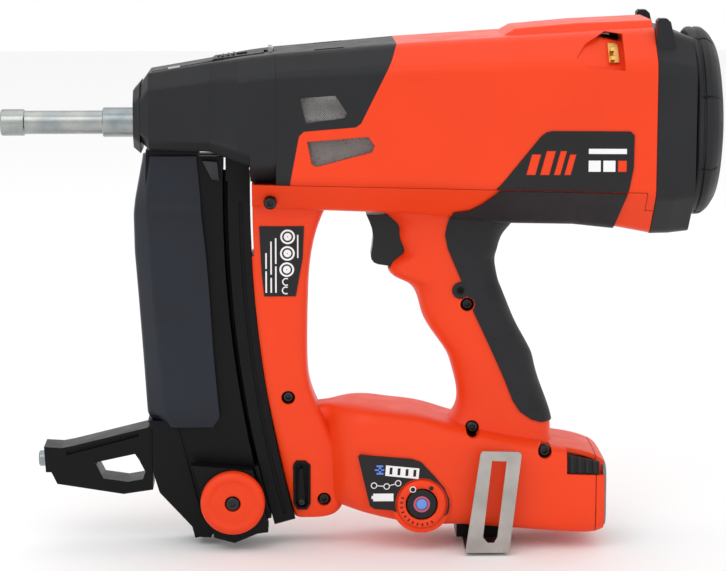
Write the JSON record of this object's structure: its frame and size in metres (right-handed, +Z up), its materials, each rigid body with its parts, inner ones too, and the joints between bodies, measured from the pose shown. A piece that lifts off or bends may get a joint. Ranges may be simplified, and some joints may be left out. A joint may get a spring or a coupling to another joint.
{
  "type": "gas actuated nailer",
  "caption": "Cordless gas nailer with a sliding probe nose, curved nail magazine, looped rear handle, battery base, belt hook and screw-on rear cap.",
  "frame": {"origin": "centre of the muzzle tip on the drive axis", "axes": "+X runs from the muzzle back to the rear cap along the drive axis, +Z is up from the handle to the barrel, -Y is the tool's left side"},
  "size_m": [0.4289, 0.116, 0.3212],
  "materials": {
    "orange_plastic": "satin moulded, fine grain",
    "black_plastic": "satin moulded, fine grain",
    "gloss_black": "semi-gloss",
    "rubber": "soft matte overmould",
    "zinc_steel": "zinc plated",
    "brushed": "brushed",
    "dark_steel": "black oxide",
    "alloy": "machined",
    "brass_contact": "bare",
    "panel_dark": "printed foil",
    "filter_foam": "open foam",
    "button_blue": "glossy",
    "led_white": "translucent"
  },
  "bodies": {
    "housing": {"belt_hook": "brushed", "chamber_housing": "orange_plastic", "contact_inserts": "brass_contact", "control_panel": "panel_dark", "cylinder": "alloy", "cylinder_bumper": "rubber", "cylinder_head": "alloy", "cylinder_housing": "black_plastic", "energy_dial": "orange_plastic", "fan_motor": "zinc_steel", "feed_gate": "dark_steel", "foot_stud": "zinc_steel", "front_housing": "black_plastic", "fuel_cell": "alloy", "grip_overmould_left": "rubber", "grip_overmould_right": "rubber", "handle_shell_left": "orange_plastic", "handle_shell_right": "orange_plastic", "hook_block": "black_plastic", "hook_screws": "dark_steel", "indicator_leds": "led_white", "latch_bezel": "black_plastic", "lever_screw": "dark_steel", "magazine_channel": "black_plastic", "magazine_cover": "gloss_black", "magazine_rail": "black_plastic", "metering_valve": "black_plastic", "nose_block": "dark_steel", "nose_clip": "brushed", "nose_cover": "black_plastic", "nose_guide": "dark_steel", "nose_plate": "black_plastic", "probe_spring": "zinc_steel", "rating_label": "panel_dark", "rear_collar": "black_plastic", "shell_screws": "dark_steel", "side_panels": "panel_dark", "spark_plug": "zinc_steel", "support_foot": "black_plastic", "trigger_spring": "zinc_steel", "trigger_switch": "black_plastic", "vent_meshes": "brushed"},
    "probe_group": {"probe_tube": "zinc_steel", "linkage_yoke": "zinc_steel", "combustion_sleeve": "alloy"},
    "piston_group": {"piston": "alloy", "driver_blade": "dark_steel"},
    "fan_group": {"chamber_fan": "alloy"},
    "trigger_group": {"trigger": "gloss_black"},
    "button_group": {"energy_button": "button_blue"},
    "slider_group": {"release_slider": "black_plastic"},
    "pusher_group": {"pusher_carriage": "black_plastic", "pusher_knob": "orange_plastic", "knob_screw": "dark_steel"},
    "battery_group": {"battery_pack": "orange_plastic"},
    "latch_left_group": {"battery_latch_left": "black_plastic"},
    "latch_right_group": {"battery_latch_right": "black_plastic"},
    "lever_group": {"latch_lever": "black_plastic"},
    "cap_group": {"rear_cap": "black_plastic", "air_filter": "filter_foam"}
  },
  "joints": [
    {"name": "probe_slide", "type": "slide", "parent": "housing", "child": "probe_group", "axis": [1, 0, 0], "range_m": [0, 0.012], "stiffness_N_per_m": 900, "springref_m": -0.004, "deforming": ["probe_spring"]},
    {"name": "piston_drive", "type": "slide", "parent": "housing", "child": "piston_group", "axis": [-1, 0, 0], "range_m": [0, 0.13]},
    {"name": "fan_spin", "type": "hinge", "parent": "housing", "child": "fan_group", "pos_m": [0.342, 0, 0], "axis": [1, 0, 0], "continuous": true},
    {"name": "trigger_pull", "type": "slide", "parent": "housing", "child": "trigger_group", "axis": [1, 0, 0], "range_m": [0, 0.006], "stiffness_N_per_m": 900, "springref_m": -0.002, "deforming": ["trigger_spring"]},
    {"name": "energy_press", "type": "slide", "parent": "housing", "child": "button_group", "axis": [0, 1, 0], "range_m": [0, 0.0015], "stiffness_N_per_m": 700, "springref_m": -0.001},
    {"name": "release_slide", "type": "slide", "parent": "housing", "child": "slider_group", "axis": [1, 0, 0], "range_m": [0, 0.0045]},
    {"name": "pusher_travel", "type": "hinge", "parent": "housing", "child": "pusher_group", "pos_m": [0.898, 0, -0.044], "axis": [0, 1, 0], "range_deg": [0, 10.5]},
    {"name": "battery_slide", "type": "slide", "parent": "housing", "child": "battery_group", "axis": [1, 0, 0], "range_m": [0, 0.075]},
    {"name": "battery_latch_left_press", "type": "slide", "parent": "battery_group", "child": "latch_left_group", "axis": [0, 1, 0], "range_m": [0, 0.002], "stiffness_N_per_m": 600, "springref_m": -0.001},
    {"name": "battery_latch_right_press", "type": "slide", "parent": "battery_group", "child": "latch_right_group", "axis": [0, -1, 0], "range_m": [0, 0.002], "stiffness_N_per_m": 600, "springref_m": -0.001},
    {"name": "magazine_latch_turn", "type": "hinge", "parent": "housing", "child": "lever_group", "pos_m": [0.1784, -0.016, -0.2301], "axis": [0, 1, 0], "range_deg": [-4, 4]},
    {"name": "cap_twist", "type": "hinge", "parent": "housing", "child": "cap_group", "pos_m": [0.42, 0, 0], "axis": [1, 0, 0], "range_deg": [0, 25]}
  ]
}
